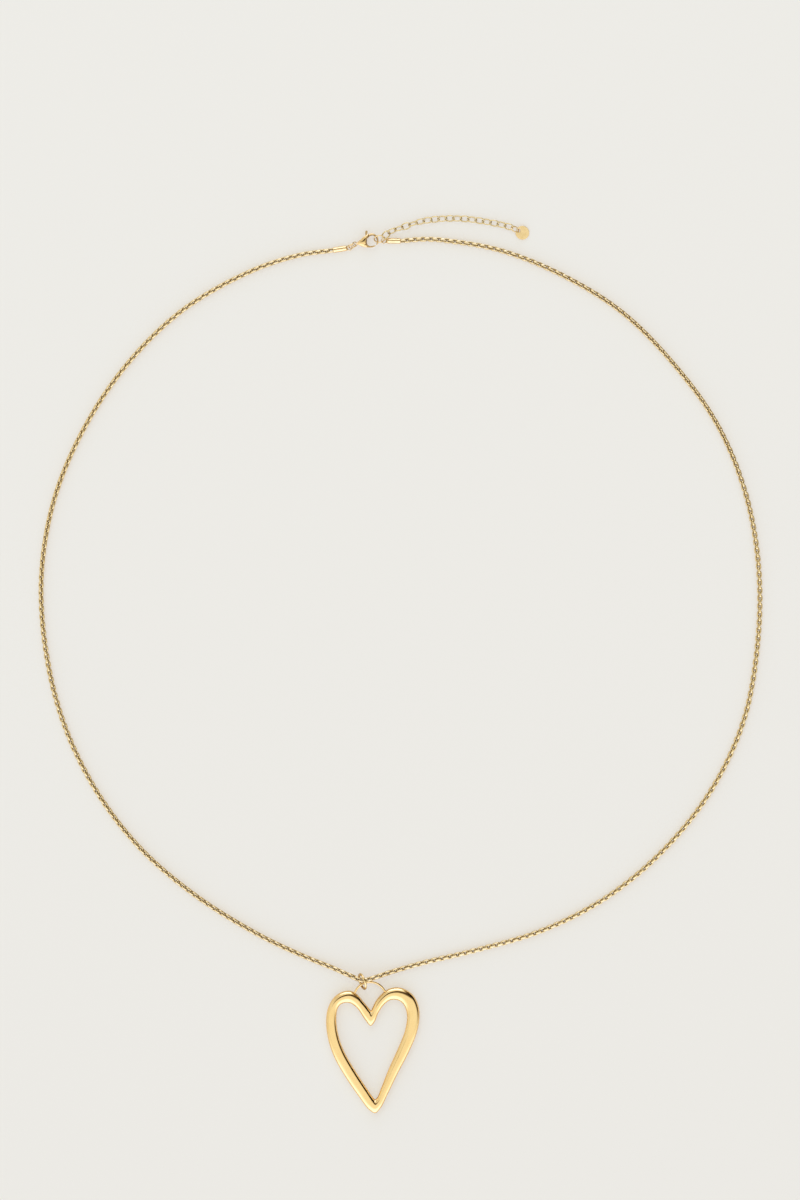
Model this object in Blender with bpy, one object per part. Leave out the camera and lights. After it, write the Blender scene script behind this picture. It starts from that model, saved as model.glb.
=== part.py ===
"""Heart pendant necklace in polished gold: a box chain with an open heart on a bail ring, a lobster
clasp on its left end and, on its right end, an extension chain with a round tag.

It lies flat and closed on the plane z = 0, with X to the right, Y from the heart up to the clasp,
and the origin under the middle of its outer box. Lengths are written in millimetres and scaled by
MM where they are used. Every piece has its origin on the axis that it turns about."""

import math

import bmesh
import bpy
from mathutils import Matrix, Vector

MM = 0.001
GAP = 0.3                     # between pieces that meet end to end

# Chain
CHAIN_DIAMETER = 1.9
CHAIN_REST = CHAIN_DIAMETER / 2
CHAIN_STEP = 4.6              # between the points of a tube
SIDE_LENGTHS = 10             # stiff lengths up each side
BOTTOM_HALF = 18.0            # half of the length that carries the pendant
BOTTOM_POINT = 17             # the route's point inside the bail ring
CHAIN_ROUTE = [
    (-24.0, 144.6, CHAIN_REST),
    (-36.0, 142.8, CHAIN_REST),
    (-52.7, 137.2, CHAIN_REST),
    (-76.2, 123.8, CHAIN_REST),
    (-95.6, 105.0, CHAIN_REST),
    (-110.6, 82.8, CHAIN_REST),
    (-121.1, 58.2, CHAIN_REST),
    (-125.7, 32.1, CHAIN_REST),
    (-124.4, 5.8, CHAIN_REST),
    (-118.4, -19.6, CHAIN_REST),
    (-107.4, -43.1, CHAIN_REST),
    (-91.9, -63.8, CHAIN_REST),
    (-72.4, -80.7, CHAIN_REST),
    (-50.5, -94.4, CHAIN_REST),
    (-34.7, -102.0, CHAIN_REST),
    (-23.5, -106.5, 1.4),
    (-18.3, -108.7, 2.4),
    (-13.3, -110.5, 2.7),
    (-8.0, -109.2, 2.4),
    (-3.2, -107.7, 1.4),
    (8.6, -104.4, CHAIN_REST),
    (25.4, -100.4, CHAIN_REST),
    (49.9, -93.1, CHAIN_REST),
    (72.7, -81.2, CHAIN_REST),
    (92.6, -64.4, CHAIN_REST),
    (108.7, -43.9, CHAIN_REST),
    (119.8, -20.0, CHAIN_REST),
    (124.6, 5.8, CHAIN_REST),
    (125.2, 32.1, CHAIN_REST),
    (120.9, 58.2, CHAIN_REST),
    (111.0, 83.0, CHAIN_REST),
    (95.4, 104.8, CHAIN_REST),
    (76.2, 123.8, CHAIN_REST),
    (52.9, 137.6, CHAIN_REST),
    (33.5, 144.9, CHAIN_REST),
    (18.1, 147.7, CHAIN_REST),
    (9.1, 148.5, CHAIN_REST),
    (0.1, 147.9, CHAIN_REST),
]

# End caps: a round body on the chain's end and a flat eye
CAP_RADIUS = 0.95
CAP_BODY = 4.8
CAP_EYE = 6.1                 # from the chain's end to the eye's centre
CAP_EYE_OUTER = 1.02
CAP_EYE_HOLE = 0.7
CAP_EYE_THICKNESS = 0.36
CAP_LEFT = (CHAIN_ROUTE[0], 8.8)         # the chain's end and the heading from it
CAP_RIGHT = (CHAIN_ROUTE[-1], 179.4)

# Rings of round wire: centre, radius of the wire's centreline, wire radius, the direction of
# the horizontal diameter, and the slope of the ring's plane across it
LEFT_RING = dict(centre=(-17.07, 146.06, 1.31), radius=1.16, wire=0.18, heading=20, slope=60)
JOINING_RING = dict(centre=(-7.5, 148.5, 1.85), radius=1.82, wire=0.21, heading=5, slope=54)
TAG_RING = dict(centre=(39.85, 151.95, 1.28), radius=1.4, wire=0.2, heading=-31, slope=-48)
BAIL_RING = dict(centre=(-13.48, -110.95, 2.95), radius=2.66, wire=0.42, heading=-73, slope=69.4)

# Lobster clasp, in its own frame: origin in the tail eye, U towards the claw, V across
CLASP_EYE_AT = (-16.18, 146.64, 1.68)
CLASP_HEADING = 10.6
CLASP_EYE_OUTER = 0.95
CLASP_EYE_HOLE = 0.6
CLASP_EYE_THICKNESS = 0.4
CLAW_THICKNESS = 1.0
CHEEK_THICKNESS = 2.1
SLOT_WIDTH = 1.2
LEVER_THICKNESS = 0.8
PIVOT_AT = (3.7, -1.0)
PIN_RADIUS = 0.3
PIN_HOLE = 0.45
CLAW_OUTLINE = [
    (0.5, 0.45), (1.7, 0.9), (3.4, 2.05), (4.7, 2.6), (5.9, 2.75), (7.1, 2.5), (8.05, 1.7),
    (8.45, 0.4), (8.35, -0.5), (8.1, -1.2), (7.7, -1.7), (7.35, -1.6), (7.5, -1.1),
    (7.8, -0.5), (7.85, 0.3), (7.55, 1.35), (6.65, 2.0), (5.6, 1.85), (4.8, 1.1), (4.4, 0.0), (4.25, -1.0),
    (4.1, -1.9), (3.4, -1.8), (2.2, -1.15), (1.2, -0.5), (0.5, -0.4),
]
CHEEK_OUTLINE = [
    (1.1, 0.35), (1.9, 0.9), (3.4, 1.95), (4.6, 2.45), (5.45, 2.6), (5.35, 1.9), (4.7, 1.2),
    (4.3, 0.0), (4.15, -1.0), (4.0, -1.8), (3.4, -1.7), (2.2, -1.05), (1.2, -0.4),
]
SLOT_OUTLINE = [
    (2.95, -2.6), (5.2, -2.6), (5.2, -0.9), (4.55, -0.2), (5.05, 3.2), (1.7, 3.2), (2.85, -0.4),
]
LEVER_OUTLINE = [
    (3.2, -1.3), (3.6, -1.65), (4.2, -1.9), (5.2, -2.15), (6.2, -2.15), (6.9, -1.98),
    (7.05, -1.72), (6.6, -1.65), (5.8, -1.7), (5.0, -1.5), (4.5, -1.1), (4.25, -0.5),
    (4.35, 0.5), (4.75, 2.4), (5.15, 3.2), (5.2, 3.7), (4.85, 3.95), (4.45, 3.7),
    (4.25, 2.4), (3.8, 0.5), (3.2, -0.6),
]

# Extension chain: oval links of round wire, each from one joint to the next
LINK_COUNT = 18
LINK_WIRE = 0.21
LINK_PLAY = 0.12              # between the wires of two links
LINK_HALF_WIDTH = 1.04        # of the wire's centreline
LINK_START = (-6.13, 149.01, 2.38)
LINK_REST = 0.75
EXTENSION_ROUTE = [
    LINK_START,
    (-4.3, 150.85, 1.9),
    (-1.9, 151.8, 1.4),
    (1.4, 152.9, 1.2),
    (6.1, 154.5, 1.1),
    (10.5, 155.3, 1.0),
    (15.75, 155.75, LINK_REST),
    (20.65, 155.75, LINK_REST),
    (25.55, 155.3, LINK_REST),
    (30.8, 154.45, LINK_REST),
    (35.9, 153.4, 0.9),
    (38.88, 152.53, 1.28),
]
FIRST_ROLLS = [38, -50, 0, 48, -55, -3, 45, -20]
ROLL = 27                     # of the other links, to one side and the other by turns

# Tag
TAG_RADIUS = 2.42
TAG_THICKNESS = 0.4
TAG_HOLE = 0.62
TAG_HOLE_AT = 1.55            # from the tag's centre
TAG_CENTRE = (42.46, 150.78, 0.62)
TAG_TILT = 9.3                # the side at the ring is the raised one

# Heart, with its arch
HEART_CENTRE = (-9.9, -135.1, 1.6)
HEART_THICKNESS = 3.2
HEART_SQUARENESS = 2.4        # 2 is an ellipse, and more is flatter on the faces
HEART_SIDES = 10
HEART_OUTER = [
    (-0.6, 13.9), (-0.1, 14.8), (1.0, 17.1), (2.7, 19.3), (5.3, 21.3), (8.5, 22.0), (11.8, 21.1),
    (14.5, 18.8), (16.1, 15.2), (16.3, 10.3), (15.1, 5.1), (12.4, -1.2), (8.8, -8.1),
    (5.5, -14.9), (2.8, -20.2), (0.9, -22.0), (-1.3, -20.8), (-5.0, -16.0), (-9.7, -9.1),
    (-13.5, -2.3), (-15.6, 4.0), (-16.3, 10.3), (-15.6, 14.8), (-13.7, 18.3), (-10.9, 20.3),
    (-7.9, 20.8), (-5.4, 19.5), (-3.3, 17.1), (-1.4, 14.8),
]
HEART_INNER = [
    (-0.7, 8.5), (0.7, 9.9), (1.9, 12.8), (3.8, 15.7), (6.1, 17.5), (8.4, 17.6), (10.3, 16.5),
    (11.5, 14.5), (12.0, 12.1), (11.9, 10.1), (11.1, 6.3), (8.8, 0.6), (5.6, -6.5),
    (2.9, -13.3), (1.5, -16.6), (0.8, -17.1), (-0.1, -16.2), (-1.8, -13.7), (-6.3, -6.8),
    (-9.9, -0.5), (-11.9, 5.0), (-12.7, 10.5), (-12.3, 14.3), (-11.3, 15.9), (-9.6, 16.6),
    (-8.0, 16.5), (-6.7, 15.8), (-5.1, 14.3), (-2.8, 10.8),
]
ARCH_CENTRE = (-10.8, -116.9, 1.8)
ARCH_RADIUS = 5.65
ARCH_WIRE = 0.375
ARCH_FROM, ARCH_TO = 31, 151  # degrees about the arch's centre
ARCH_HINGE = 120              # where the bail ring passes around it

GOLD = (0.83, 0.60, 0.27)
PALE_GOLD = (0.76, 0.60, 0.31)

for old in list(bpy.data.objects):
    bpy.data.objects.remove(old, do_unlink=True)
NECKLACE = bpy.data.collections.new("heart_pendant_necklace")
CUTTERS = bpy.data.collections.new("cutters")
for collection in (NECKLACE, CUTTERS):
    bpy.context.scene.collection.children.link(collection)


# --- curves through points ---

def smooth(points, closed=False, steps=10):
    """Centripetal Catmull-Rom curve through the points, as points."""
    points = [Vector(p) for p in points]
    if closed:
        ends = [points[-1], *points, points[0], points[1]]
    else:
        ends = [2 * points[0] - points[1], *points, 2 * points[-1] - points[-2]]
    made = []
    for a, b, c, d in zip(ends, ends[1:], ends[2:], ends[3:]):
        t1 = (b - a).length ** 0.5
        t2 = t1 + (c - b).length ** 0.5
        t3 = t2 + (d - c).length ** 0.5
        for i in range(steps):
            t = t1 + (t2 - t1) * i / steps
            ab = a.lerp(b, t / t1)
            bc = b.lerp(c, (t - t1) / (t2 - t1))
            cd = c.lerp(d, (t - t2) / (t3 - t2))
            abc = ab.lerp(bc, t / t2)
            bcd = bc.lerp(cd, (t - t1) / (t3 - t1))
            made.append(abc.lerp(bcd, (t - t1) / (t2 - t1)))
    return made if closed else [*made, points[-1]]


def distances(points):
    """How far along the points each one lies."""
    far = [0.0]
    for a, b in zip(points, points[1:]):
        far.append(far[-1] + (b - a).length)
    return far


def point_along(points, far, distance):
    """The point at this distance along the points."""
    i = max(1, next((n for n, f in enumerate(far) if f >= distance), len(far) - 1))
    return points[i - 1].lerp(points[i], (distance - far[i - 1]) / (far[i] - far[i - 1]))


# --- objects ---

def material(name, colour, roughness):
    made = bpy.data.materials.new(name)
    made.use_nodes = True
    shader = made.node_tree.nodes["Principled BSDF"]
    shader.inputs["Base Color"].default_value = (*colour, 1)
    shader.inputs["Roughness"].default_value = roughness
    shader.inputs["Metallic"].default_value = 1.0
    return made


def add(name, data, matrix=None, colour=GOLD, roughness=0.12):
    """A new object of the necklace, with a material of its own."""
    made = bpy.data.objects.new(name, data)
    NECKLACE.objects.link(made)
    made.matrix_world = matrix or Matrix.Identity(4)
    data.materials.clear()
    data.materials.append(material(name, colour, roughness))
    return made


def at(place, heading=0.0, slope=0.0):
    """Where a piece goes: at a place in millimetres, turned by a heading about Z, and with its
    plane then sloped about its own X."""
    turn = Matrix.Rotation(math.radians(heading), 4, "Z")
    lean = Matrix.Rotation(math.radians(slope), 4, "X")
    return Matrix.Translation(Vector(place) * MM) @ turn @ lean


def wire(name, points, radius, closed=False, resolution=1):
    """A curve object's data: round wire through points in millimetres."""
    data = bpy.data.curves.new(name, "CURVE")
    data.dimensions = "3D"
    data.bevel_depth = radius * MM
    data.bevel_resolution = resolution
    data.render_resolution_u = 0
    data.use_fill_caps = not closed
    spline = data.splines.new("POLY")
    spline.points.add(len(points) - 1)
    for p, place in zip(spline.points, points):
        p.co = (*(Vector(place) * MM), 1)
    spline.use_cyclic_u = closed
    return data


def circle(radius, count, centre=(0.0, 0.0)):
    """Points around a circle, counterclockwise."""
    turns = [2 * math.pi * i / count for i in range(count)]
    return [(centre[0] + radius * math.cos(t), centre[1] + radius * math.sin(t), 0) for t in turns]


def plate(name, outline, thickness):
    """A mesh of this flat outline in millimetres, with its thickness halved about z = 0."""
    data = bpy.data.curves.new(name, "CURVE")
    data.dimensions = "2D"
    data.fill_mode = "BOTH"
    data.extrude = thickness / 2 * MM
    data.render_resolution_u = 0
    spline = data.splines.new("POLY")
    spline.points.add(len(outline) - 1)
    for p, place in zip(spline.points, outline):
        p.co = (place[0] * MM, place[1] * MM, 0, 1)
    spline.use_cyclic_u = True
    shape = bpy.data.objects.new(name, data)
    bpy.context.scene.collection.objects.link(shape)
    mesh = bpy.data.meshes.new_from_object(shape.evaluated_get(bpy.context.evaluated_depsgraph_get()))
    bpy.data.objects.remove(shape)
    bm = bmesh.new()
    bm.from_mesh(mesh)
    bmesh.ops.remove_doubles(bm, verts=bm.verts, dist=1e-6)
    bmesh.ops.recalc_face_normals(bm, faces=bm.faces)
    bm.to_mesh(mesh)
    bm.free()
    return mesh


def rod(name, radius, length, sides=20):
    """A mesh of a cylinder along Z, with its middle at the origin."""
    mesh = bpy.data.meshes.new(name)
    bm = bmesh.new()
    bmesh.ops.create_cone(
        bm, cap_ends=True, segments=sides, radius1=radius * MM, radius2=radius * MM,
        depth=length * MM,
    )
    bm.to_mesh(mesh)
    bm.free()
    return mesh


def cutter(name, mesh, matrix):
    """A guide that only shapes another piece."""
    made = bpy.data.objects.new(name, mesh)
    CUTTERS.objects.link(made)
    made.matrix_world = matrix
    made.hide_render = True
    made.display_type = "WIRE"
    return made


def shape_with(piece, other, operation):
    """Join a guide to a piece, or cut it out of the piece."""
    boolean = piece.modifiers.new(other.name, "BOOLEAN")
    boolean.object = other
    boolean.operation = operation
    boolean.solver = "EXACT"


# --- the chain and its end caps ---

def chain():
    """The chain as stiff tubes that meet at upright hinges, from the pendant up both sides."""
    route = [Vector((x, y, max(z, CHAIN_REST))) for x, y, z in smooth(CHAIN_ROUTE)]
    far = distances(route)
    middle = far[BOTTOM_POINT * 10]

    def tube(name, start, end, hinge):
        origin = point_along(route, far, hinge)
        count = max(2, math.ceil(abs(end - start) / CHAIN_STEP)) + 1
        places = [start + (end - start) * i / (count - 1) for i in range(count)]
        points = [point_along(route, far, place) - origin for place in places]
        data = wire(name, points, CHAIN_DIAMETER / 2, resolution=2)
        add(name, data, at(origin), PALE_GOLD, 0.22)

    tube("chain_bottom", middle - BOTTOM_HALF + GAP / 2, middle + BOTTOM_HALF - GAP / 2, middle)
    for side, way, end in (("left", -1, far[0]), ("right", 1, far[-1])):
        length = (abs(end - middle) - BOTTOM_HALF) / SIDE_LENGTHS
        for n in range(SIDE_LENGTHS):
            hinge = middle + way * (BOTTOM_HALF + n * length)
            tube(f"chain_{side}_{n + 1:02d}", hinge + way * GAP / 2,
                 hinge + way * (length - GAP / 2), hinge)


def cap_eye(start, heading):
    """The middle of a cap's eye, in millimetres."""
    turn = math.radians(heading)
    return Vector(start) + CAP_EYE * Vector((math.cos(turn), math.sin(turn), 0))


def cap(name, start, heading):
    """An end cap whose X runs from the chain's end to its eye."""
    place = at(start, heading)
    lying = Matrix.Rotation(math.radians(90), 4, "Y")
    body = rod(name, CAP_RADIUS, CAP_BODY - GAP)
    middle = Matrix.Translation(Vector(((CAP_BODY + GAP) / 2, 0, 0)) * MM)
    body.transform(middle @ lying)
    made = add(name, body, place)
    reach = CAP_BODY - 0.5
    round_end = [p for p in circle(CAP_EYE_OUTER, 20, (CAP_EYE, 0.0)) if p[0] >= CAP_EYE - 1e-6]
    round_end.sort(key=lambda p: p[1])
    eye = [(reach, -CAP_EYE_OUTER * 0.8), *round_end, (reach, CAP_EYE_OUTER * 0.8)]
    flat = cutter(f"{name}_eye", plate(f"{name}_eye", eye, CAP_EYE_THICKNESS), place)
    hole = cutter(f"{name}_hole", rod(f"{name}_hole", CAP_EYE_HOLE, CAP_RADIUS * 2),
                  place @ Matrix.Translation(Vector((CAP_EYE, 0, 0)) * MM))
    shape_with(made, flat, "UNION")
    shape_with(made, hole, "DIFFERENCE")


# --- rings and links ---

def ring(name, spec, hinge, sides=20, resolution=1):
    """A ring of round wire, with its origin at the hinge and its own Z across its plane."""
    place = at(hinge, spec["heading"], spec["slope"])
    centre = place.to_3x3().inverted() @ (Vector(spec["centre"]) - Vector(hinge))
    points = [centre + Vector(p) for p in circle(spec["radius"], sides)]
    add(name, wire(name, points, spec["wire"], closed=True, resolution=resolution), place)


def link_wire():
    """One extension link: an oval from the joint at its origin to the next, along X."""
    over = LINK_WIRE + LINK_PLAY / 2
    pitch = link_pitch()
    turn = [math.pi / 2 + math.pi * i / 7 for i in range(8)]
    left = [(LINK_HALF_WIDTH - over + LINK_HALF_WIDTH * math.cos(t), LINK_HALF_WIDTH * math.sin(t), 0)
            for t in turn]
    right = [(pitch - x, -y, 0) for x, y, _ in left]
    return wire("extension_link", left + right, LINK_WIRE, closed=True)


def extension_points():
    """The joints of the extension chain: equal steps along its route."""
    route = smooth(EXTENSION_ROUTE)
    far = distances(route)
    return [point_along(route, far, far[-1] * n / LINK_COUNT) for n in range(LINK_COUNT + 1)]


def link_pitch():
    points = extension_points()
    return sum((b - a).length for a, b in zip(points, points[1:])) / LINK_COUNT


def extension():
    points = extension_points()
    for n, (start, end) in enumerate(zip(points, points[1:])):
        along = (end - start).normalized()
        across = Vector((0, 0, 1)).cross(along).normalized()
        frame = Matrix((along, across, along.cross(across))).transposed().to_4x4()
        roll = FIRST_ROLLS[n] if n < len(FIRST_ROLLS) else ROLL * (-1) ** n
        place = Matrix.Translation(start * MM) @ frame @ Matrix.Rotation(math.radians(-roll), 4, "X")
        add(f"link_{n + 1:02d}", link_wire(), place)


def tag():
    """A round tag with its hole beside the rim, raised on the ring's wire."""
    heading = TAG_RING["heading"]
    place = at(TAG_CENTRE, heading) @ Matrix.Rotation(math.radians(TAG_TILT), 4, "Y")
    hole_at = Vector((-TAG_HOLE_AT, 0, 0)) * MM
    mesh = rod("tag", TAG_RADIUS, TAG_THICKNESS, sides=36)
    mesh.transform(Matrix.Translation(-hole_at))
    made = add("tag", mesh, place @ Matrix.Translation(hole_at))
    hole = cutter("tag_hole", rod("tag_hole", TAG_HOLE, 4 * TAG_THICKNESS),
                  place @ Matrix.Translation(hole_at))
    shape_with(made, hole, "DIFFERENCE")


# --- clasp ---

def clasp():
    """Body with cheeks, slot and tail eye, the lever that closes its claw, and the lever's pin."""
    place = at(CLASP_EYE_AT, CLASP_HEADING)
    pivot = place @ Matrix.Translation(Vector((*PIVOT_AT, 0)) * MM)
    body = add("clasp_body", plate("clasp_body", smooth_flat(CLAW_OUTLINE), CLAW_THICKNESS), place)
    cheeks = cutter("clasp_cheeks", plate("clasp_cheeks", smooth_flat(CHEEK_OUTLINE), CHEEK_THICKNESS), place)
    eye = cutter("clasp_eye", rod("clasp_eye", CLASP_EYE_OUTER, CLASP_EYE_THICKNESS), place)
    eye_hole = cutter("clasp_eye_hole", rod("clasp_eye_hole", CLASP_EYE_HOLE, 3), place)
    slot = cutter("clasp_slot", plate("clasp_slot", SLOT_OUTLINE, SLOT_WIDTH), place)
    pin_hole = cutter("clasp_pin_hole", rod("clasp_pin_hole", PIN_HOLE, 4), pivot)
    shape_with(body, cheeks, "UNION")
    shape_with(body, eye, "UNION")
    for other in (eye_hole, slot, pin_hole):
        shape_with(body, other, "DIFFERENCE")

    lever = plate("clasp_lever", smooth_flat(LEVER_OUTLINE), LEVER_THICKNESS)
    lever.transform(Matrix.Translation(-Vector((*PIVOT_AT, 0)) * MM))
    shape_with(add("clasp_lever", lever, pivot), pin_hole, "DIFFERENCE")
    add("clasp_pin", rod("clasp_pin", PIN_RADIUS, CHEEK_THICKNESS), pivot)


def smooth_flat(outline):
    return smooth([(u, v, 0) for u, v in outline], closed=True, steps=2)


# --- heart ---

def heart():
    """The open heart: a rounded section carried around between two outlines."""
    outer = smooth([(x, y, 0) for x, y in HEART_OUTER], closed=True, steps=2)
    inner = smooth([(x, y, 0) for x, y in HEART_INNER], closed=True, steps=2)
    mesh = bpy.data.meshes.new("heart_frame")
    bm = bmesh.new()
    hinge = arch_hinge()
    shift = Vector(HEART_CENTRE) - hinge
    rings = []
    for out, inn in zip(outer, inner):
        middle, half = (out + inn) / 2, (out - inn) / 2
        section = []
        for i in range(HEART_SIDES):
            turn = 2 * math.pi * i / HEART_SIDES
            across, up = (
                math.copysign(abs(w) ** (2 / HEART_SQUARENESS), w)
                for w in (math.cos(turn), math.sin(turn))
            )
            place = middle + half * across + Vector((0, 0, up * HEART_THICKNESS / 2)) + shift
            section.append(bm.verts.new(place * MM))
        rings.append(section)
    for a, b in zip(rings, rings[1:] + rings[:1]):
        for i in range(HEART_SIDES):
            j = (i + 1) % HEART_SIDES
            bm.faces.new((a[i], b[i], b[j], a[j]))
    bmesh.ops.recalc_face_normals(bm, faces=bm.faces)
    bm.to_mesh(mesh)
    bm.free()
    add("heart_frame", mesh, at(hinge))


def arch_point(degrees):
    turn = math.radians(degrees)
    return Vector(ARCH_CENTRE) + ARCH_RADIUS * Vector((math.cos(turn), math.sin(turn), 0))


def arch_hinge():
    """Where the arch lies in the bail ring: the axis that the heart swings about."""
    return arch_point(ARCH_HINGE)


def arch():
    count = 17
    hinge = arch_hinge()
    points = [arch_point(ARCH_FROM + (ARCH_TO - ARCH_FROM) * i / (count - 1)) - hinge for i in range(count)]
    add("bail_arch", wire("bail_arch", points, ARCH_WIRE, resolution=2), at(hinge))


chain()
cap("cap_left", *CAP_LEFT)
cap("cap_right", *CAP_RIGHT)
ring("jump_ring_left", LEFT_RING, cap_eye(*CAP_LEFT))
ring("joining_ring", JOINING_RING, cap_eye(*CAP_RIGHT))
clasp()
extension()
ring("tag_ring", TAG_RING, EXTENSION_ROUTE[-1])
tag()
ring("bail_ring", BAIL_RING, CHAIN_ROUTE[BOTTOM_POINT], sides=24, resolution=2)
arch()
heart()
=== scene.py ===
"""Looks of the heart pendant necklace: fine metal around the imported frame, a pale floor, soft light."""

import math
import random

import bmesh
import bpy
from mathutils import Matrix, Vector


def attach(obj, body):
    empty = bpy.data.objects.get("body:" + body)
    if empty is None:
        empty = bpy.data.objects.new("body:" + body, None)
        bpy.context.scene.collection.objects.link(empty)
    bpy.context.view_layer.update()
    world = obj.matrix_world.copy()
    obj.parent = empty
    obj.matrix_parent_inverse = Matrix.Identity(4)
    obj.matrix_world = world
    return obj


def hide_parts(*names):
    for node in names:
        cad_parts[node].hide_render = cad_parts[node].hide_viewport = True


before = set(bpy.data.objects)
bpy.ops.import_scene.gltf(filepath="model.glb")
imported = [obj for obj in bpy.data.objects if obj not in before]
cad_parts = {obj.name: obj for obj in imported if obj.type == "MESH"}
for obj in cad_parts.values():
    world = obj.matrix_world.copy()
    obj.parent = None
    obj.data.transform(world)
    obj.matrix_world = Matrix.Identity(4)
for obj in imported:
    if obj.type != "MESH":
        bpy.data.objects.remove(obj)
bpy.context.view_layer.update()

MM = 0.001
CURVE_STEPS = 10              # points of a smooth curve from one given point to the next
SCENE = bpy.context.scene

# --- the necklace's route and outlines, in millimetres ---

CHAIN_REST = 0.95
BOTTOM_HALF = 18.0            # half of the chain's stiff length at the bottom
BOTTOM_POINT = 17             # the route's point in the middle of it
SIDE_LENGTHS = 10             # and the stiff lengths up each side
CHAIN_ROUTE = [
    (-24.0, 144.6, CHAIN_REST),
    (-36.0, 142.8, CHAIN_REST),
    (-52.7, 137.2, CHAIN_REST),
    (-76.2, 123.8, CHAIN_REST),
    (-95.6, 105.0, CHAIN_REST),
    (-110.6, 82.8, CHAIN_REST),
    (-121.1, 58.2, CHAIN_REST),
    (-125.7, 32.1, CHAIN_REST),
    (-124.4, 5.8, CHAIN_REST),
    (-118.4, -19.6, CHAIN_REST),
    (-107.4, -43.1, CHAIN_REST),
    (-91.9, -63.8, CHAIN_REST),
    (-72.4, -80.7, CHAIN_REST),
    (-50.5, -94.4, CHAIN_REST),
    (-34.7, -102.0, CHAIN_REST),
    (-23.5, -106.5, 1.4),
    (-18.3, -108.7, 2.4),
    (-13.3, -110.5, 2.7),
    (-8.0, -109.2, 2.4),
    (-3.2, -107.7, 1.4),
    (8.6, -104.4, CHAIN_REST),
    (25.4, -100.4, CHAIN_REST),
    (49.9, -93.1, CHAIN_REST),
    (72.7, -81.2, CHAIN_REST),
    (92.6, -64.4, CHAIN_REST),
    (108.7, -43.9, CHAIN_REST),
    (119.8, -20.0, CHAIN_REST),
    (124.6, 5.8, CHAIN_REST),
    (125.2, 32.1, CHAIN_REST),
    (120.9, 58.2, CHAIN_REST),
    (111.0, 83.0, CHAIN_REST),
    (95.4, 104.8, CHAIN_REST),
    (76.2, 123.8, CHAIN_REST),
    (52.9, 137.6, CHAIN_REST),
    (33.5, 144.9, CHAIN_REST),
    (18.1, 147.7, CHAIN_REST),
    (9.1, 148.5, CHAIN_REST),
    (0.1, 147.9, CHAIN_REST),
]

# A box chain's link: a rounded square of flat wire. Every other one stands across the last.
LINK_PITCH = 1.4
BOX_LENGTH = 2.58
BOX_WIDTH = 1.88
BOX_WIRE = 0.56               # across the wire, in the link's plane
BOX_DEPTH = 0.72              # of the wire, across the link's plane
BOX_CORNER = 0.52
BOX_LEAN, BOX_YAW = 2.5, 1.2  # degrees that a link may be off, either way
CHAIN_SEED = 21
# How far the chain has turned about itself, along its length in millimetres
CHAIN_ROLLS = [
    (0, 38), (60, 47), (130, 43), (205, 12), (270, 30), (350, 42), (400, 22), (500, 18),
    (587, 6), (665, 40), (735, 24), (800, 20),
]

CAP_RADIUS = 0.95
CAP_START = 0.3
CAP_BODY = 4.95
CAP_CRIMPS = (1.5, 3.75)
CAP_EYE = 6.1
CAP_EYE_OUTER = 1.02
CAP_EYE_HOLE = 0.7
CAP_EYE_THICKNESS = 0.36
CAP_NECK = 0.82               # half the width where the eye goes into the plug
CAPS = {"left": (CHAIN_ROUTE[0], 8.8), "right": (CHAIN_ROUTE[-1], 179.4)}

# The wire's radius, the way the ring faces, and where its slit is, in degrees
RINGS = {
    "jump_ring_left": dict(centre=(-17.07, 146.06, 1.31), radius=1.16, wire=0.18,
                           heading=20, slope=60, slit=200),
    "joining_ring": dict(centre=(-7.5, 148.5, 1.85), radius=1.82, wire=0.21,
                         heading=5, slope=54, slit=95),
    "tag_ring": dict(centre=(39.85, 151.95, 1.28), radius=1.4, wire=0.2,
                     heading=-31, slope=-48, slit=80),
    "bail_ring": dict(centre=(-13.48, -110.95, 2.95), radius=2.66, wire=0.39,
                      heading=-73, slope=69.4, slit=250),
}

CLASP_EYE_AT = (-16.18, 146.64, 1.68)
CLASP_HEADING = 10.6
CLASP_EYE_OUTER = 0.95
CLASP_EYE_HOLE = 0.6
CLASP_EYE_THICKNESS = 0.4
CLAW_THICKNESS = 1.0
MOUTH = (6.1, 0.3)            # the middle of the claw's opening
CHEEK_THICKNESS = 2.1
SLOT_WIDTH = 1.2
LEVER_THICKNESS = 0.8
PIVOT_AT = (3.7, -1.0)
PIN_RADIUS = 0.34
PIN_HOLE = 0.36
RIVET_LENGTH = 1.75
# x, y and half the width of the claw and of the tail's neck, from end to end
CLAW = [
    (4.5, 1.6, 0.62), (4.9, 2.02, 0.58), (5.8, 2.3, 0.46), (6.9, 2.2, 0.38), (7.75, 1.5, 0.34),
    (8.14, 0.4, 0.31), (8.07, -0.5, 0.28), (7.82, -1.15, 0.26), (7.52, -1.62, 0.17),
]
NECK = [(0.55, 0.0, 0.34), (1.2, 0.15, 0.45), (2.0, 0.3, 0.75), (2.6, 0.4, 0.9)]
CHEEK_OUTLINE = [
    (1.1, 0.35), (1.9, 0.9), (3.4, 1.95), (4.6, 2.45), (5.45, 2.6), (5.35, 1.9), (4.7, 1.2),
    (4.3, 0.0), (4.15, -1.0), (4.0, -1.8), (3.4, -1.7), (2.2, -1.05), (1.2, -0.4),
]
SLOT_OUTLINE = [
    (2.95, -2.6), (5.2, -2.6), (5.2, -0.9), (4.55, -0.2), (5.05, 3.2), (1.7, 3.2), (2.85, -0.4),
]
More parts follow.
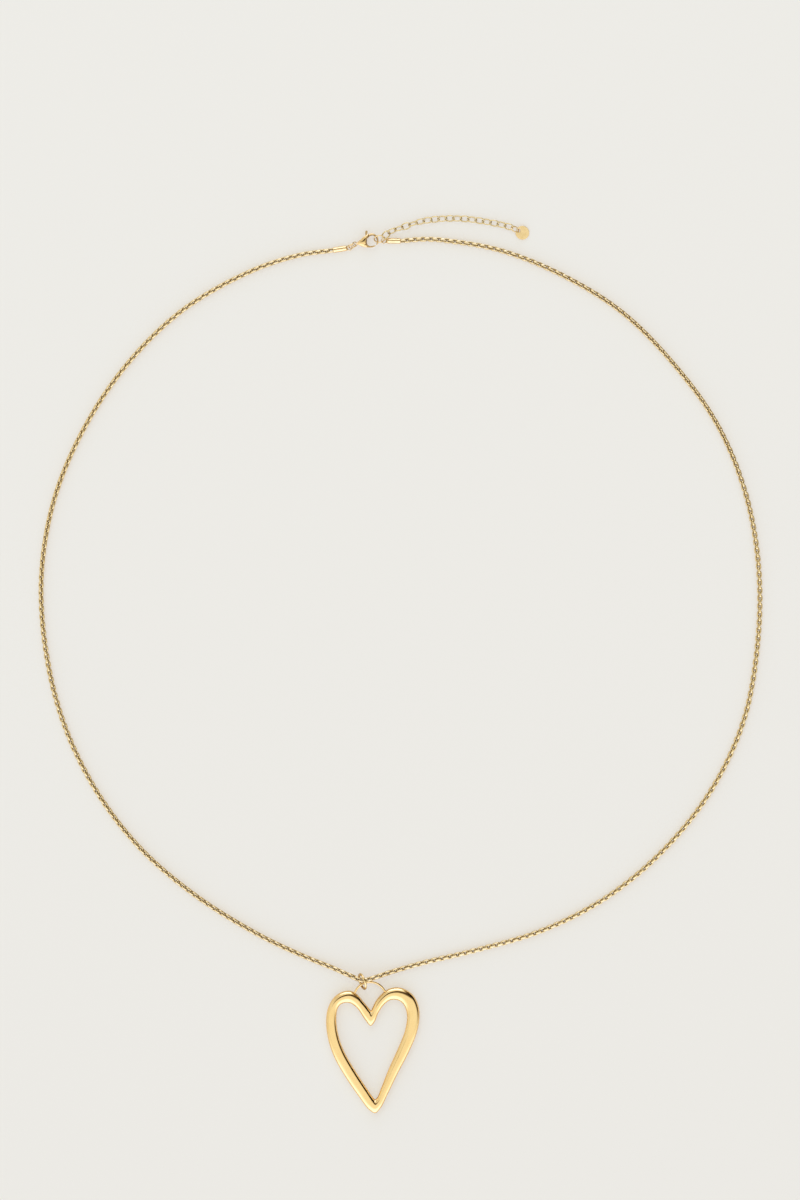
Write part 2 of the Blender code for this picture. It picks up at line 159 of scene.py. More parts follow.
LEVER_OUTLINE = [
    (3.2, -1.3), (3.6, -1.65), (4.2, -1.9), (5.2, -2.15), (6.2, -2.15), (6.9, -1.98),
    (7.05, -1.72), (6.6, -1.65), (5.8, -1.7), (5.0, -1.5), (4.5, -1.1), (4.25, -0.5),
    (4.35, 0.5), (4.75, 2.4), (5.15, 3.2), (5.2, 3.7), (4.85, 3.95), (4.45, 3.7),
    (4.25, 2.4), (3.8, 0.5), (3.2, -0.6),
]

LINK_COUNT = 18
LINK_WIRE = 0.21
LINK_PLAY = 0.12              # that each link has on the one before it
LINK_HALF_WIDTH = 1.04
LINK_REST = 0.75
LINK_ROUND = 0.86             # 1 is an ellipse, less is squarer
EXTENSION_ROUTE = [
    (-6.13, 149.01, 2.38),
    (-4.3, 150.85, 1.9),
    (-1.9, 151.8, 1.4),
    (1.4, 152.9, 1.2),
    (6.1, 154.5, 1.1),
    (10.5, 155.3, 1.0),
    (15.75, 155.75, LINK_REST),
    (20.65, 155.75, LINK_REST),
    (25.55, 155.3, LINK_REST),
    (30.8, 154.45, LINK_REST),
    (35.9, 153.4, 0.9),
    (38.88, 152.53, 1.28),
]
# How far the first links are turned about their own length, and the others, to each side by turns
FIRST_ROLLS = [-5, -52, 48, 0, 55, -40, 20, -25]
ROLL = 27

TAG_RADIUS = 2.42
TAG_THICKNESS = 0.4
TAG_HOLE = 0.62
TAG_HOLE_AT = 1.55
TAG_CENTRE = (42.46, 150.78, 0.62)
TAG_HEADING = -31
TAG_TILT = 9.3

HEART_CENTRE = (-9.9, -135.1, 1.6)
HEART_THICKNESS = 3.2
HEART_SQUARENESS = 2.4
HEART_OUTER = [
    (-0.6, 13.9), (-0.1, 14.8), (1.0, 17.1), (2.7, 19.3), (5.3, 21.3), (8.5, 22.0), (11.8, 21.1),
    (14.5, 18.8), (16.1, 15.2), (16.3, 10.3), (15.1, 5.1), (12.4, -1.2), (8.8, -8.1),
    (5.5, -14.9), (2.8, -20.2), (0.9, -22.0), (-1.3, -20.8), (-5.0, -16.0), (-9.7, -9.1),
    (-13.5, -2.3), (-15.6, 4.0), (-16.3, 10.3), (-15.6, 14.8), (-13.7, 18.3), (-10.9, 20.3),
    (-7.9, 20.8), (-5.4, 19.5), (-3.3, 17.1), (-1.4, 14.8),
]
HEART_INNER = [
    (-0.7, 8.5), (0.7, 9.9), (1.9, 12.8), (3.8, 15.7), (6.1, 17.5), (8.4, 17.6), (10.3, 16.5),
    (11.5, 14.5), (12.0, 12.1), (11.9, 10.1), (11.1, 6.3), (8.8, 0.6), (5.6, -6.5),
    (2.9, -13.3), (1.5, -16.6), (0.8, -17.1), (-0.1, -16.2), (-1.8, -13.7), (-6.3, -6.8),
    (-9.9, -0.5), (-11.9, 5.0), (-12.7, 10.5), (-12.3, 14.3), (-11.3, 15.9), (-9.6, 16.6),
    (-8.0, 16.5), (-6.7, 15.8), (-5.1, 14.3), (-2.8, 10.8),
]
ARCH_CENTRE = (-10.8, -116.9, 1.8)
ARCH_RADIUS = 5.65
ARCH_WIRE = 0.375
ARCH_FROM, ARCH_TO = 12, 169  # degrees; both ends sink into the heart


# --- camera, floor and light ---

CAMERA_AT = (-0.00035, 0.0223, 1.4)   # metres


def camera():
    """Straight above the necklace, far enough for little perspective."""
    data = bpy.data.cameras.new("camera")
    data.lens = 120
    data.sensor_width = 36
    data.clip_end = 20
    made = bpy.data.objects.new("camera", data)
    made.location = CAMERA_AT
    SCENE.collection.objects.link(made)
    SCENE.camera = made


class Nodes:
    """Short ways to add and link shader nodes."""

    def __init__(self, tree):
        self.tree = tree

    def add(self, kind, *inputs, **settings):
        node = self.tree.nodes.new(kind)
        for key, value in settings.items():
            setattr(node, key, value)
        for i, value in enumerate(inputs):
            self.put(node.inputs[i], value)
        return node

    def put(self, socket, value):
        if isinstance(value, bpy.types.NodeSocket):
            self.tree.links.new(value, socket)
        elif value is not None:
            socket.default_value = value

    def math(self, operation, *values):
        return self.add("ShaderNodeMath", *values, operation=operation).outputs[0]

    def remap(self, value, low, high, to_low=0.0, to_high=1.0, kind="LINEAR"):
        return self.add("ShaderNodeMapRange", value, low, high, to_low, to_high,
                        interpolation_type=kind).outputs[0]

    def mix(self, share, first, second):
        node = self.add("ShaderNodeMix", data_type="RGBA")
        self.put(node.inputs[0], share)
        self.put(node.inputs[6], first)
        self.put(node.inputs[7], second)
        return node.outputs[2]


FLOOR = (0.216, 0.292, 0.300)         # what the floor returns of the light that falls on it
FLOOR_GLOW = (0.606, 0.504, 0.411)    # and what it gives off itself, as a light table does
FLOOR_SEEN = (0.80, 0.70, 0.55)       # the floor as the metal mirrors it
PAPER = (0.855, 0.847, 0.815, 1)      # what the camera sees past the floor's edge
ROOM = 0.90                           # brightness of the room's walls
# tones of dim, plain and bright light
DIM, WARM, COOL = (1.0, 0.68, 0.40, 1), (1.0, 0.99, 0.97, 1), (0.80, 0.87, 1.22, 1)
# azimuth from +Y towards +X, elevation, inner and outer radius in degrees, brightness added
SOFT_LIGHTS = [
    (0, 90, 28, 44, 0.13),
    (180, 0, 50, 78, 0.87),
    (180, 0, 16, 34, 0.35),
    (0, 12, 12, 40, 1.6),
]
# the same, and the share of the light that is missing there
UNLIT = [
    (60, 7, 28, 48, 0.94),
    (-42, 35, 5, 26, 0.2),
]
# a dark beam that crosses the north: its plane's azimuth and elevation, inner and outer half width
BEAM = (-27, -14, 6.5, 13.0, 0.92)
BEAM_WEST_END = (-0.52, -0.25)        # it fades out between these, along +X
BEAM_SOUTH_END = (0.0, 0.1)           # and along +Y
KEY_AT = (-0.25, 0.9, 1.25)           # metres
KEY_SIZE = 0.7
KEY_POWER = 4.0                       # watts


def towards(azimuth, elevation):
    """The direction of a bearing in degrees."""
    a, e = math.radians(azimuth), math.radians(elevation)
    return (math.sin(a) * math.cos(e), math.cos(a) * math.cos(e), math.sin(e))


def dot_product(n, direction, axis):
    """How far a direction goes along an axis."""
    return n.add("ShaderNodeVectorMath", direction, axis, operation="DOT_PRODUCT").outputs["Value"]


def facing(n, direction, azimuth, elevation, inner, outer):
    """1 within the inner angle of this bearing, 0 beyond the outer."""
    dot = dot_product(n, direction, towards(azimuth, elevation))
    return n.remap(dot, math.cos(math.radians(outer)), math.cos(math.radians(inner)), kind="SMOOTHSTEP")


def light_room():
    """A pale room: soft light overhead, brighter low in the north and south, an unlit corner in the
    north-east, and a beam that crosses the north above head height."""
    world = bpy.data.worlds.new("studio")
    SCENE.world = world
    world.use_nodes = True
    world.node_tree.nodes.clear()
    n = Nodes(world.node_tree)
    direction = n.add("ShaderNodeTexCoord").outputs["Generated"]
    light = ROOM
    for *place, strength in SOFT_LIGHTS:
        mask = facing(n, direction, *place)
        light = n.math("MULTIPLY_ADD", mask, strength, light)
    for *place, loss in UNLIT:
        mask = facing(n, direction, *place)
        light = n.math("MULTIPLY", light, n.math("MULTIPLY_ADD", mask, -loss, 1.0))
    azimuth, elevation, inner, outer, loss = BEAM
    off = n.math("ABSOLUTE", dot_product(n, direction, towards(azimuth, elevation)))
    mask = n.remap(off, math.sin(math.radians(outer)), math.sin(math.radians(inner)), kind="SMOOTHSTEP")
    parts = n.add("ShaderNodeSeparateXYZ", direction)
    for axis, ends in (("X", BEAM_WEST_END), ("Y", BEAM_SOUTH_END)):
        mask = n.math("MULTIPLY", mask, n.remap(parts.outputs[axis], *ends, kind="SMOOTHSTEP"))
    light = n.math("MULTIPLY", light, n.math("MULTIPLY_ADD", mask, -loss, 1.0))
    tone = n.mix(n.remap(light, 1.05, 1.9), n.mix(n.remap(light, 0.1, 0.85), DIM, WARM), COOL)
    lit = n.add("ShaderNodeBackground", tone, light)
    plain = n.add("ShaderNodeBackground", PAPER, 1.0)
    seen = n.add("ShaderNodeLightPath").outputs["Is Camera Ray"]
    shader = n.add("ShaderNodeMixShader", seen, lit.outputs[0], plain.outputs[0])
    n.add("ShaderNodeOutputWorld", shader.outputs[0])
    SCENE.view_settings.view_transform = "Standard"


def key_light():
    data = bpy.data.lights.new("key", "AREA")
    data.shape = "DISK"
    data.size = KEY_SIZE
    data.energy = KEY_POWER
    data.color = (1, 0.98, 0.95)
    made = bpy.data.objects.new("key", data)
    made.location = KEY_AT
    made.rotation_euler = (-made.location).to_track_quat("-Z", "Y").to_euler()
    made.visible_glossy = False
    SCENE.collection.objects.link(made)


def floor():
    mesh = bpy.data.meshes.new("floor")
    bm = bmesh.new()
    bmesh.ops.create_grid(bm, x_segments=8, y_segments=8, size=8)
    bm.to_mesh(mesh)
    bm.free()
    made = bpy.data.objects.new("floor", mesh)
    made.location = (0, 0, -0.00002)
    SCENE.collection.objects.link(made)
    paper = bpy.data.materials.new("floor_paper")
    paper.use_nodes = True
    paper.node_tree.nodes.clear()
    n = Nodes(paper.node_tree)
    seen = n.add("ShaderNodeLightPath").outputs["Is Camera Ray"]
    lit = n.add("ShaderNodeBsdfDiffuse", n.mix(seen, (*FLOOR_SEEN, 1), (*FLOOR, 1)))
    glow = n.add("ShaderNodeEmission", (*FLOOR_GLOW, 1), seen)
    shader = n.add("ShaderNodeAddShader", lit.outputs[0], glow.outputs[0])
    n.add("ShaderNodeOutputMaterial", shader.outputs[0])
    mesh.materials.append(paper)


camera()
light_room()
key_light()
floor()


# --- metal ---

SHADE_LEVEL = 0.38                        # of the deep colour that is left under full painted shade
# the brown tone of the painted shade
SHADE_TONE = (1.0, 0.80, 0.38)
HAIRLINE_SCALE = (9000, 700, 9000)    # a metre, across, along and across the lines
BUMP_DEPTH = 0.000006                 # metres


def metal(name, colour, deep, roughness, spots, waves=0.0, scratches=0.5, painted_shade=False):
    """Polished plated metal: cloudy colour, hairline scratches, uneven gloss and, where a piece has
    a painted_shade attribute, painted shade there: a darker brown colour and duller gloss."""
    made = bpy.data.materials.new(name)
    made.use_nodes = True
    n = Nodes(made.node_tree)
    shader = made.node_tree.nodes["Principled BSDF"]
    shader.inputs["Metallic"].default_value = 1.0
    place = n.add("ShaderNodeTexCoord").outputs["Object"]

    def noise(scale, detail, rough=0.5):
        node = n.add("ShaderNodeTexNoise")
        n.put(node.inputs["Vector"], place)
        node.inputs["Scale"].default_value = scale
        node.inputs["Detail"].default_value = detail
        node.inputs["Roughness"].default_value = rough
        return node.outputs[0]

    cloud = n.remap(noise(spots, 3), 0.35, 0.7)
    tone = n.mix(cloud, (*colour, 1), (*deep, 1))
    if painted_shade:
        # painted shade: the colour goes to a dark brown where the painted_shade attribute is high
        shade_mask = n.add("ShaderNodeAttribute", attribute_name="painted_shade").outputs["Fac"]
        tint = n.add("ShaderNodeAttribute", attribute_name="tint").outputs["Fac"]
        tone = n.mix(n.math("MULTIPLY", tint, 0.5), tone, (*deep, 1))
        shade_colour = tuple(SHADE_LEVEL * c * f for c, f in zip(deep, SHADE_TONE))
        tone = n.mix(n.math("MULTIPLY", shade_mask, 0.9), tone, (*shade_colour, 1))
    n.put(shader.inputs["Base Color"], tone)

    # hairlines: noise drawn out along two directions
    lines = None
    for turn in ((0.4, 0.2, 0.7), (-0.5, 0.3, -0.9)):
        mapping = n.add("ShaderNodeMapping", place)
        mapping.inputs["Rotation"].default_value = turn
        mapping.inputs["Scale"].default_value = HAIRLINE_SCALE
        node = n.add("ShaderNodeTexNoise")
        n.put(node.inputs["Vector"], mapping.outputs[0])
        node.inputs["Scale"].default_value = 1.0
        node.inputs["Detail"].default_value = 2
        line = n.remap(node.outputs[0], 0.62, 0.72)
        lines = line if lines is None else n.math("MAXIMUM", lines, line)
    gloss = n.remap(noise(spots * 3, 4, 0.6), 0.3, 0.75, roughness * 0.75, roughness * 1.35)
    if painted_shade:
        gloss = n.math("MULTIPLY_ADD", shade_mask, 0.22, gloss)
    n.put(shader.inputs["Roughness"], n.math("MULTIPLY_ADD", lines, 0.05 * scratches, gloss))

    height = n.math("MULTIPLY", lines, -scratches)
    height = n.math("MULTIPLY_ADD", noise(spots * 2.2, 2), 1.5 + waves, height)
    bump = n.add("ShaderNodeBump")
    bump.inputs["Strength"].default_value = 0.35
    bump.inputs["Distance"].default_value = BUMP_DEPTH
    n.put(bump.inputs["Height"], height)
    n.put(shader.inputs["Normal"], bump.outputs[0])
    return made


METALS = {
    "heart_gold": metal("heart_gold", (0.95, 0.71, 0.33), (0.93, 0.67, 0.29), 0.10, 260, waves=2.5,
                        painted_shade=True),
    "chain_gold": metal("chain_gold", (0.90, 0.74, 0.40), (0.80, 0.62, 0.29), 0.10, 900,
                        painted_shade=True),
    "cap_gold": metal("cap_gold", (0.93, 0.72, 0.37), (0.88, 0.64, 0.30), 0.13, 700),
    "clasp_gold": metal("clasp_gold", (0.93, 0.70, 0.34), (0.88, 0.62, 0.27), 0.14, 650, waves=1.0,
                        painted_shade=True),
    "ring_gold": metal("ring_gold", (0.88, 0.68, 0.32), (0.80, 0.59, 0.25), 0.13, 800, painted_shade=True),
    "extension_gold": metal("extension_gold", (0.82, 0.66, 0.31), (0.68, 0.52, 0.21), 0.14, 900,
                            painted_shade=True),
    "tag_gold": metal("tag_gold", (0.88, 0.68, 0.35), (0.80, 0.60, 0.28), 0.2, 600, scratches=1.0),
}


# --- points and meshes ---

def smooth(points, closed=False, steps=CURVE_STEPS):
    """Centripetal Catmull-Rom curve through the points, as points."""
    points = [Vector(p) for p in points]
    if closed:
        ends = [points[-1], *points, points[0], points[1]]
    else:
        ends = [2 * points[0] - points[1], *points, 2 * points[-1] - points[-2]]
    made = []
    for a, b, c, d in zip(ends, ends[1:], ends[2:], ends[3:]):
        t1 = (b - a).length ** 0.5
        t2 = t1 + (c - b).length ** 0.5
        t3 = t2 + (d - c).length ** 0.5
        for i in range(steps):
            t = t1 + (t2 - t1) * i / steps
            ab = a.lerp(b, t / t1)
            bc = b.lerp(c, (t - t1) / (t2 - t1))
            cd = c.lerp(d, (t - t2) / (t3 - t2))
            abc = ab.lerp(bc, t / t2)
            bcd = bc.lerp(cd, (t - t1) / (t3 - t1))
            made.append(abc.lerp(bcd, (t - t1) / (t2 - t1)))
    return made if closed else [*made, points[-1]]


def distances(points):
    """How far along the line each point is."""
    far = [0.0]
    for a, b in zip(points, points[1:]):
        far.append(far[-1] + (b - a).length)
    return far


def point_along(points, far, distance):
    i = max(1, next((n for n, f in enumerate(far) if f >= distance), len(far) - 1))
    return points[i - 1].lerp(points[i], (distance - far[i - 1]) / (far[i] - far[i - 1]))


def at(place, heading=0.0, slope=0.0):
    """The matrix of a piece at this place in millimetres, leant about X and then turned about Z."""
    turn = Matrix.Rotation(math.radians(heading), 4, "Z")
    lean = Matrix.Rotation(math.radians(slope), 4, "X")
    return Matrix.Translation(Vector(place) * MM) @ turn @ lean


def skin(name, loops, closed=False, capped=False):
    """A smooth mesh through closed loops of points in millimetres, all of as many points."""
    count = len(loops[0])
    points = [Vector(p) * MM for loop in loops for p in loop]
    faces = []
    rows = len(loops)
    for r in range(rows if closed else rows - 1):
        a, b = r * count, (r + 1) % rows * count
        faces += [(a + i, a + (i + 1) % count, b + (i + 1) % count, b + i) for i in range(count)]
    if capped:
        faces.append(tuple(reversed(range(count))))
        faces.append(tuple(range((rows - 1) * count, rows * count)))
    mesh = bpy.data.meshes.new(name)
    mesh.from_pydata(points, [], faces)
    bm = bmesh.new()
    bm.from_mesh(mesh)
    bmesh.ops.recalc_face_normals(bm, faces=bm.faces)
    bm.to_mesh(mesh)
    bm.free()
    mesh.shade_smooth()
    return mesh


def tube_loops(path, radius, sides, closed=False):
    """Loops of a round wire along a path."""
    count = len(path)
    tangents = []
    for i in range(count):
        before = path[i - 1] if closed or i else path[i]
        after = path[(i + 1) % count] if closed or i < count - 1 else path[i]
        tangents.append((after - before).normalized())
    start = Vector((0, 0, 1)) if abs(tangents[0].z) < 0.9 else Vector((1, 0, 0))
    side = tangents[0].cross(start).normalized()
    turns = [2 * math.pi * k / sides for k in range(sides)]
    loops = []
    for p, tangent in zip(path, tangents):
        side = (side - tangent * side.dot(tangent)).normalized()
        up = tangent.cross(side)
        loops.append([p + (side * math.cos(t) + up * math.sin(t)) * radius for t in turns])
    return loops


def paint_shade(mesh, matrix, amount, shade_mask=None):
    """Painted shade on what faces sideways and down as the piece lies, away from the light above, and on
    the given mask.
    """
    turn = matrix.to_3x3()
    values = []
    for i, vertex in enumerate(mesh.vertices):
        up = (turn @ vertex.normal).normalized().z
        share = min(1.0, max(0.0, (0.62 - up) / 0.5))
        values.append(min(1.0, amount * share + (shade_mask[i] if shade_mask else 0.0)))
    mesh.attributes.new("painted_shade", "FLOAT", "POINT").data.foreach_set("value", values)


def piece(name, mesh, slot, body, nodes=(), matrix=None):
    """A new object in the slot's metal, riding on a body and standing for its CAD nodes."""
    made = bpy.data.objects.new(name, mesh)
    SCENE.collection.objects.link(made)
    made.matrix_world = matrix or Matrix.Identity(4)
    if not mesh.materials:
        mesh.materials.append(METALS[slot])
    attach(made, body)
    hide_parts(*nodes)
    return made


# --- chain ---

def box_link():
    """Points, faces and painted shade of one box chain link about its centre, X along the chain."""
    half = Vector((BOX_LENGTH - BOX_WIRE, BOX_WIDTH - BOX_WIRE)) / 2
    path = []
    for corner, (sx, sy) in enumerate(((1, 1), (-1, 1), (-1, -1), (1, -1))):
        for step in range(4):
            turn = math.radians(90 * corner + 30 * step)
            path.append(Vector((sx * (half.x - BOX_CORNER) + BOX_CORNER * math.cos(turn),
                                sy * (half.y - BOX_CORNER) + BOX_CORNER * math.sin(turn))))
    sides = 8
    points, shade_mask = [], []
    count = len(path)
    for i, p in enumerate(path):
        along = (path[(i + 1) % count] - path[i - 1]).normalized()
        out = Vector((along.y, -along.x))
        for k in range(sides):
            turn = 2 * math.pi * (k + 0.5) / sides
            c, s = math.cos(turn), math.sin(turn)
            c, s = (math.copysign(abs(w) ** 0.7, w) for w in (c, s))
            points.append(Vector((p.x + out.x * c * BOX_WIRE / 2, p.y + out.y * c * BOX_WIRE / 2,
                                  s * BOX_DEPTH / 2)))
            # painted shade on the wire's inner side and at the link's ends, where they lie inside the
            # next links
            inward = max(0.0, -c - 0.25) / 0.75
            inside_next = min(1.0, max(0.0, (abs(p.x) / half.x - 0.72) / 0.28))
            shade_mask.append(max(inward, inside_next))
    faces = []
    for i in range(count):
        a, b = i * sides, (i + 1) % count * sides
        faces += [(a + k, b + k, b + (k + 1) % sides, a + (k + 1) % sides) for k in range(sides)]
    return points, faces, shade_mask


def chain_roll(distance):
    """How far the chain has turned about itself here, in degrees."""
    for (a, low), (b, high) in zip(CHAIN_ROLLS, CHAIN_ROLLS[1:]):
        if distance <= b:
            share = (distance - a) / (b - a)
            return low + (high - low) * share * share * (3 - 2 * share)
    return CHAIN_ROLLS[-1][1]


def chain():
    """Every link of the box chain, in one piece for each stiff length of the frame."""
    route = [Vector((x, y, max(z, CHAIN_REST))) for x, y, z in smooth(CHAIN_ROUTE)]
    far = distances(route)
    middle = far[BOTTOM_POINT * CURVE_STEPS]
    left = (middle - BOTTOM_HALF) / SIDE_LENGTHS
    right = (far[-1] - middle - BOTTOM_HALF) / SIDE_LENGTHS
    count = round(far[-1] / LINK_PITCH)
    step = far[-1] / count
    points, faces, shade_mask = box_link()
    rand = random.Random(CHAIN_SEED)
    lengths = {}
    for n in range(count):
        place = (n + 0.5) * step
        if abs(place - middle) < BOTTOM_HALF:
            node = "chain_bottom"
        elif place < middle:
            node = f"chain_left_{int((middle - BOTTOM_HALF - place) / left) + 1:02d}"
        else:
            node = f"chain_right_{int((place - middle - BOTTOM_HALF) / right) + 1:02d}"
        centre = point_along(route, far, place)
        along = point_along(route, far, place + 0.7) - point_along(route, far, place - 0.7)
        along.normalize()
        across = Vector((0, 0, 1)).cross(along).normalized()
        frame_here = Matrix((along, across, along.cross(across))).transposed()
        roll = chain_roll(place) + 90 * (n % 2) + rand.uniform(-BOX_LEAN, BOX_LEAN)
        yaw = rand.uniform(-BOX_YAW, BOX_YAW)
        turn = (frame_here @ Matrix.Rotation(math.radians(roll), 3, "X")
                @ Matrix.Rotation(math.radians(yaw), 3, "Z"))
        verts, quads, painted_shade, tint = lengths.setdefault(node, ([], [], [], []))
        base = len(verts)
        verts += [(centre + turn @ p) * MM for p in points]
        quads += [tuple(base + i for i in face) for face in faces]
        painted_shade += shade_mask
        tint += [rand.random()] * len(points)
    for node, (verts, quads, painted_shade, tint) in lengths.items():
        name = node.replace("chain_", "box_links_")
        mesh = bpy.data.meshes.new(name)
        mesh.from_pydata(verts, [], quads)
        # the painted shade and a random tint of each link, for its material
        for key, values in (("painted_shade", painted_shade), ("tint", tint)):
            mesh.attributes.new(key, "FLOAT", "POINT").data.foreach_set("value", values)
        mesh.shade_smooth()
        piece(name, mesh, "chain_gold", node, [node])


# --- end caps ---

def turned(profile, sides=40):
    """Loops around X from (x, radius) pairs."""
    turns = [2 * math.pi * k / sides for k in range(sides)]
    return [[(x, r * math.cos(t), r * math.sin(t)) for t in turns] for x, r in profile]


def rounded(centre, radius, first, last, steps=5):
    """Points of an arc in a profile, in degrees."""
    turns = [math.radians(first + (last - first) * i / (steps - 1)) for i in range(steps)]
    return [(centre[0] + radius * math.cos(t), centre[1] + radius * math.sin(t)) for t in turns]


def flat_ring(hole, rim, thickness, edge, count=64):
    """Loops of a flat piece with a round hole at its origin and rounded edges. rim(turn) gives how
    far its outline lies from the origin."""
    half = thickness / 2
    arc = [math.radians(15 * i) for i in range(7)]
    corner = [(edge * (1 - math.cos(a)), half - edge * (1 - math.sin(a))) for a in arc]
    loops = []

    def loop(share, inset_hole, inset_rim, z):
        made = []
        for k in range(count):
            t = 2 * math.pi * k / count
            near, far = hole + inset_hole, rim(t) - inset_rim
            r = near + (far - near) * share
            made.append((r * math.cos(t), r * math.sin(t), z))
        return made

    for inset, z in corner:
        loops.append(loop(0, inset, edge, z))
    for share in (0.25, 0.5, 0.75):
        loops.append(loop(share, edge, edge, half))
    for inset, z in reversed(corner):
        loops.append(loop(1, edge, inset, z))
    lower = [[(x, y, -z) for x, y, z in one] for one in reversed(loops)]
    return loops + lower


def joined(name, *meshes):
    """One mesh of several."""
    bm = bmesh.new()
    for mesh in meshes:
        bm.from_mesh(mesh)
        bpy.data.meshes.remove(mesh)
    mesh = bpy.data.meshes.new(name)
    bm.to_mesh(mesh)
    bm.free()
    return mesh


def caps():
    """A crimped tube over the chain's end, closed by a plug that carries a flat eye."""
    start, end = CAP_START, CAP_BODY
    profile = [(start + 0.9, 0.0), (start + 0.9, 0.74), (start + 0.1, 0.76)]
    profile += rounded((start + 0.09, CAP_RADIUS - 0.09), 0.09, 260, 90)
    for dent in CAP_CRIMPS:
        profile += [(dent - 0.16, CAP_RADIUS), (dent - 0.07, CAP_RADIUS - 0.025),
                    (dent + 0.07, CAP_RADIUS - 0.025), (dent + 0.16, CAP_RADIUS)]
    profile += rounded((end - 0.22, CAP_RADIUS - 0.22), 0.22, 90, 5, 6)
    profile += [(end - 0.03, 0.55), (end - 0.1, 0.5), (end - 0.1, 0.0)]

    def rim(turn):
        c, s = math.cos(turn), math.sin(turn)
        if c >= 0 or s * s >= 0.66:
            return CAP_EYE_OUTER
        neck = CAP_NECK / max(abs(s), 1e-6)
        back = (CAP_EYE - CAP_BODY + 0.5) / max(-c, 1e-6)
        return max(CAP_EYE_OUTER, min(neck, back))

    for side, (place, heading) in CAPS.items():
        body = skin("cap_body", turned(profile))
        eye = skin("cap_eye", flat_ring(CAP_EYE_HOLE, rim, CAP_EYE_THICKNESS, 0.1), closed=True)
        eye.transform(Matrix.Translation(Vector((CAP_EYE, 0, 0)) * MM))
        piece(f"end_cap_{side}", joined("end_cap", body, eye), "cap_gold", f"cap_{side}",
              [f"cap_{side}"], at(place, heading))


# --- rings and extension ---

def rings():
    """Jump rings of round wire, each with the fine slit where its ends meet."""
    for node, spec in RINGS.items():
        slit = math.degrees(0.05 / spec["radius"])
        turns = [math.radians(spec["slit"] + slit / 2 + (360 - slit) * i / 64) for i in range(65)]
        path = [spec["radius"] * Vector((math.cos(t), math.sin(t), 0)) for t in turns]
        mesh = skin(node, tube_loops(path, spec["wire"], 16), capped=True)
        mesh.set_sharp_from_angle(angle=math.radians(60))
        place = at(spec["centre"], spec["heading"], spec["slope"])
        # painted shade on what faces sideways and down
        paint_shade(mesh, place, 0.6)
        piece(f"{node}_wire", mesh, "ring_gold", node, [node], place)


def extension():
    """Eighteen oval links from joint to joint, with painted shade inside their ends and on what faces
    sideways and down.
    """
    route = smooth(EXTENSION_ROUTE)
    far = distances(route)
    joints = [point_along(route, far, far[-1] * n / LINK_COUNT) for n in range(LINK_COUNT + 1)]
    pitch = sum((b - a).length for a, b in zip(joints, joints[1:])) / LINK_COUNT
    over = LINK_WIRE + LINK_PLAY / 2
    path = []
    for i in range(40):
        c, s = math.cos(math.pi * i / 20), math.sin(math.pi * i / 20)
        path.append(Vector((pitch / 2 + math.copysign(abs(c) ** LINK_ROUND, c) * (pitch / 2 + over),
                            math.copysign(abs(s) ** LINK_ROUND, s) * LINK_HALF_WIDTH, 0)))
    loops = tube_loops(path, LINK_WIRE, 12, closed=True)
    mesh = skin("extension_link", loops, closed=True)
    shade_mask = []
    for p, loop in zip(path, loops):
        out = (p - Vector((pitch / 2, 0, 0))).normalized()
        # painted shade on the inner side of the wire near the link's ends, where the next links pass
        near_end = min(1.0, max(0.0, (abs(p.x - pitch / 2) / (pitch / 2) - 0.7) / 0.35))
        shade_mask += [near_end * max(0.0, -(q - p).normalized().dot(out)) for q in loop]
    for n, (start, stop) in enumerate(zip(joints, joints[1:])):
        along = (stop - start).normalized()
        across = Vector((0, 0, 1)).cross(along).normalized()
        turn = Matrix((along, across, along.cross(across))).transposed().to_4x4()
        roll = FIRST_ROLLS[n] if n < len(FIRST_ROLLS) else ROLL * (-1) ** n
        node = f"link_{n + 1:02d}"
        place = Matrix.Translation(start * MM) @ turn @ Matrix.Rotation(math.radians(-roll), 4, "X")
        link = mesh.copy()
        link.name = f"extension_{node}"
        # painted shade on sides and undersides, and inside the ends
        paint_shade(link, place, 0.6, shade_mask)
        piece(f"extension_{node}", link, "extension_gold", node, [node], place)


def tag():
    """A plain round tag, placed by its hole."""

    def rim(turn):
        # the outline is a circle about the tag's centre, seen from the hole's
        c = math.cos(turn)
        return TAG_HOLE_AT * c + math.sqrt(TAG_RADIUS ** 2 - (TAG_HOLE_AT * math.sin(turn)) ** 2)

    place = at(TAG_CENTRE, TAG_HEADING) @ Matrix.Rotation(math.radians(TAG_TILT), 4, "Y")
    mesh = skin("tag_disc", flat_ring(TAG_HOLE, rim, TAG_THICKNESS, 0.11, 96), closed=True)
    piece("tag_disc", mesh, "tag_gold", "tag", ["tag"],
          place @ Matrix.Translation(Vector((-TAG_HOLE_AT, 0, 0)) * MM))


# --- clasp ---

def plate(outline, thickness, steps=6):
    """A flat solid of this outline, as an object for casting. Without steps its corners stay sharp."""
    data = bpy.data.curves.new("plate", "CURVE")
    data.dimensions = "2D"
    data.fill_mode = "BOTH"
    data.extrude = thickness / 2 * MM
    data.render_resolution_u = 0
    flat = smooth([(u, v, 0) for u, v in outline], closed=True, steps=steps) if steps else outline
    spline = data.splines.new("POLY")
    spline.points.add(len(flat) - 1)
    for p, place in zip(spline.points, flat):
        p.co = (place[0] * MM, place[1] * MM, 0, 1)
    spline.use_cyclic_u = True
    shape = bpy.data.objects.new("plate", data)
    SCENE.collection.objects.link(shape)
    mesh = bpy.data.meshes.new_from_object(shape.evaluated_get(bpy.context.evaluated_depsgraph_get()))
    bpy.data.objects.remove(shape)
    bm = bmesh.new()
    bm.from_mesh(mesh)
    bmesh.ops.remove_doubles(bm, verts=bm.verts, dist=1e-6)
    bmesh.ops.recalc_face_normals(bm, faces=bm.faces)
    bm.to_mesh(mesh)
    bm.free()
    return helper(mesh)


